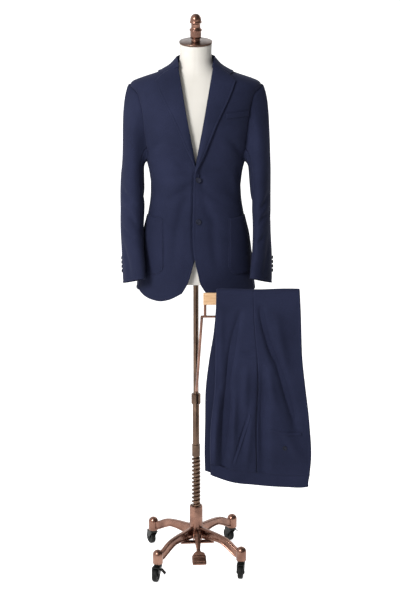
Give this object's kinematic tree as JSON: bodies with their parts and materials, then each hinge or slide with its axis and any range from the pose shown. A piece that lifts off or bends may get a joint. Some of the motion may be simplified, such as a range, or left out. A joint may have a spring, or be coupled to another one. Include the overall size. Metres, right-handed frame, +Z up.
{
  "type": "two-piece suit on a dress form stand",
  "caption": "Tailored single-breasted jacket buttoned on a limbless dress form, with its trousers folded over a side bar of the form's screw column, on an arched base with casters.",
  "frame": {"origin": "the centre of the whole object's box, on the floor; the pole's axis stands 61 mm towards the wearer's right (-X) and 21 mm behind (+Y)", "axes": "+Z up; the wearer faces -Y; the wearer's left, where the trousers hang, is +X"},
  "size_m": [0.5882, 0.4024, 1.7632],
  "materials": {
    "navy_wool": "matte fine worsted",
    "dark_horn": "satin horn",
    "cream_cover": "matte jersey over a light hard shell",
    "antique_copper": "burnished dark copper",
    "pale_wood": "clear satin",
    "black_rubber": "matte",
    "black_nylon": "satin"
  },
  "bodies": {
    "base": {"hub": "antique_copper", "cross_plate": "antique_copper", "pedal_bracket": "antique_copper", "base_arm_front_left": "antique_copper", "base_arm_front_right": "antique_copper", "base_arm_rear_left": "antique_copper", "base_arm_rear_right": "antique_copper"},
    "column": {"jacket_front_left": "navy_wool", "jacket_front_right": "navy_wool", "jacket_side_left": "navy_wool", "jacket_side_right": "navy_wool", "jacket_back_left": "navy_wool", "jacket_back_right": "navy_wool", "upper_sleeve_left": "navy_wool", "upper_sleeve_right": "navy_wool", "under_sleeve_left": "navy_wool", "under_sleeve_right": "navy_wool", "jacket_collar": "navy_wool", "jacket_lapel_left": "navy_wool", "jacket_lapel_right": "navy_wool", "jacket_patch_pocket_left": "navy_wool", "jacket_patch_pocket_right": "navy_wool", "jacket_breast_welt": "navy_wool", "trouser_front_panel": "navy_wool", "trouser_back_panel": "navy_wool", "trouser_inner_leg": "navy_wool", "trouser_waistband": "navy_wool", "trouser_back_pocket_welt": "navy_wool", "trouser_slash_pocket_welt": "navy_wool", "jacket_button_closing": "dark_horn", "jacket_button_lower": "dark_horn", "trouser_pocket_button": "dark_horn", "cuff_button_left_1": "dark_horn", "cuff_button_left_2": "dark_horn", "cuff_button_left_3": "dark_horn", "cuff_button_left_4": "dark_horn", "cuff_button_right_1": "dark_horn", "cuff_button_right_2": "dark_horn", "cuff_button_right_3": "dark_horn", "cuff_button_right_4": "dark_horn", "dress_form": "cream_cover", "neck_cap": "antique_copper", "finial": "antique_copper", "upper_pole": "antique_copper", "brace_clamp": "antique_copper", "screw_column": "antique_copper", "trouser_bar": "pale_wood", "bar_post": "antique_copper", "brace_rod": "antique_copper"},
    "pedal": {"foot_pedal": "antique_copper"},
    "caster_front_left": {"caster_fork_front_left": "black_nylon"},
    "wheel_front_left": {"caster_wheel_front_left": "black_rubber"},
    "caster_front_right": {"caster_fork_front_right": "black_nylon"},
    "wheel_front_right": {"caster_wheel_front_right": "black_rubber"},
    "brake_front_right": {"brake_lever_front_right": "black_nylon"},
    "caster_rear_left": {"caster_fork_rear_left": "black_nylon"},
    "wheel_rear_left": {"caster_wheel_rear_left": "black_rubber"},
    "brake_rear_left": {"brake_lever_rear_left": "black_nylon"},
    "caster_rear_right": {"caster_fork_rear_right": "black_nylon"},
    "wheel_rear_right": {"caster_wheel_rear_right": "black_rubber"}
  },
  "joints": [
    {"name": "column_height", "type": "slide", "parent": "base", "child": "column", "axis": [0, 0, 1], "range_m": [-0.03, 0.04]},
    {"name": "pedal_press", "type": "hinge", "parent": "base", "child": "pedal", "pos_m": [-0.0559, -0.0354, 0.102], "axis": [0.9962, 0.0872, 0], "range_deg": [0, 12]},
    {"name": "swivel_front_left", "type": "hinge", "parent": "base", "child": "caster_front_left", "pos_m": [0.08398, -0.10089, 0.05], "axis": [0, 0, 1], "continuous": true},
    {"name": "roll_front_left", "type": "hinge", "parent": "caster_front_left", "child": "wheel_front_left", "pos_m": [0.08148, -0.11871, 0.022], "axis": [0.9903, -0.1392, 0], "continuous": true},
    {"name": "swivel_front_right", "type": "hinge", "parent": "base", "child": "caster_front_right", "pos_m": [-0.18229, -0.12418, 0.05], "axis": [0, 0, 1], "continuous": true},
    {"name": "roll_front_right", "type": "hinge", "parent": "caster_front_right", "child": "wheel_front_right", "pos_m": [-0.18785, -0.1413, 0.022], "axis": [0.9511, -0.309, 0], "continuous": true},
    {"name": "brake_front_right", "type": "hinge", "parent": "caster_front_right", "child": "brake_front_right", "pos_m": [-0.17173, -0.14023, 0.04], "axis": [-0.309, -0.9511, 0], "range_deg": [-18, 0]},
    {"name": "swivel_rear_left", "type": "hinge", "parent": "base", "child": "caster_rear_left", "pos_m": [0.06069, 0.16538, 0.05], "axis": [0, 0, 1], "continuous": true},
    {"name": "roll_rear_left", "type": "hinge", "parent": "caster_rear_left", "child": "wheel_rear_left", "pos_m": [0.05036, 0.18013, 0.022], "axis": [-0.8192, -0.5736, 0], "continuous": true},
    {"name": "brake_rear_left", "type": "hinge", "parent": "caster_rear_left", "child": "brake_rear_left", "pos_m": [0.06609, 0.18382, 0.04], "axis": [-0.5736, 0.8192, 0], "range_deg": [0, 18]},
    {"name": "swivel_rear_right", "type": "hinge", "parent": "base", "child": "caster_rear_right", "pos_m": [-0.20558, 0.14209, 0.05], "axis": [0, 0, 1], "continuous": true},
    {"name": "roll_rear_right", "type": "hinge", "parent": "caster_rear_right", "child": "wheel_rear_right", "pos_m": [-0.21403, 0.15798, 0.022], "axis": [-0.8829, -0.4695, 0], "continuous": true}
  ]
}
